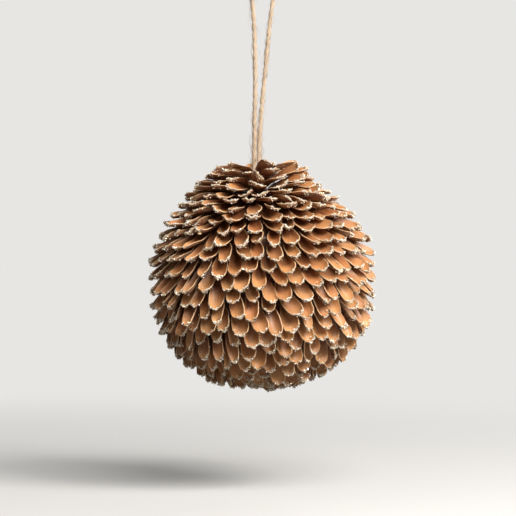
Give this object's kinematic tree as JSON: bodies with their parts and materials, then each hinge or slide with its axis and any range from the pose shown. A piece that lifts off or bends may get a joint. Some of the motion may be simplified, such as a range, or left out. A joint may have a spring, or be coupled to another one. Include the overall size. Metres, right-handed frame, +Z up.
{
  "type": "glitter bauble",
  "caption": "Hanging ball ornament covered in overlapping cupped husk scales with frosted tips, on a loop of twine.",
  "frame": {"origin": "inside of the twine loop at its top, where it hangs on a twig or hook", "axes": "+Z up along the hanging line, -Y towards the viewer of the picture, +X to that viewer's right"},
  "size_m": [0.1021, 0.1021, 0.1902],
  "materials": {
    "stained_foam": "foam ball stained dark brown, matt",
    "husk_scale": "dry brown husk with pale rims and frosted glitter at the tip",
    "jute_twine": "loose two-ply jute"
  },
  "bodies": {
    "root": {"foam_core": "stained_foam", "scale_course_01": "husk_scale", "scale_course_02": "husk_scale", "scale_course_03": "husk_scale", "scale_course_04": "husk_scale", "scale_course_05": "husk_scale", "scale_course_06": "husk_scale", "scale_course_07": "husk_scale", "scale_course_08": "husk_scale", "scale_course_09": "husk_scale", "scale_course_10": "husk_scale", "scale_course_11": "husk_scale", "scale_course_12": "husk_scale", "scale_course_13": "husk_scale", "scale_course_14": "husk_scale", "scale_course_15": "husk_scale", "scale_course_16": "husk_scale", "scale_course_17": "husk_scale", "scale_course_18": "husk_scale", "scale_course_19": "husk_scale", "scale_course_20": "husk_scale", "scale_course_21": "husk_scale", "scale_course_22": "husk_scale", "scale_course_23": "husk_scale", "scale_course_24": "husk_scale", "scale_course_25": "husk_scale", "scale_course_26": "husk_scale", "twine_loop": "jute_twine"}
  },
  "joints": []
}
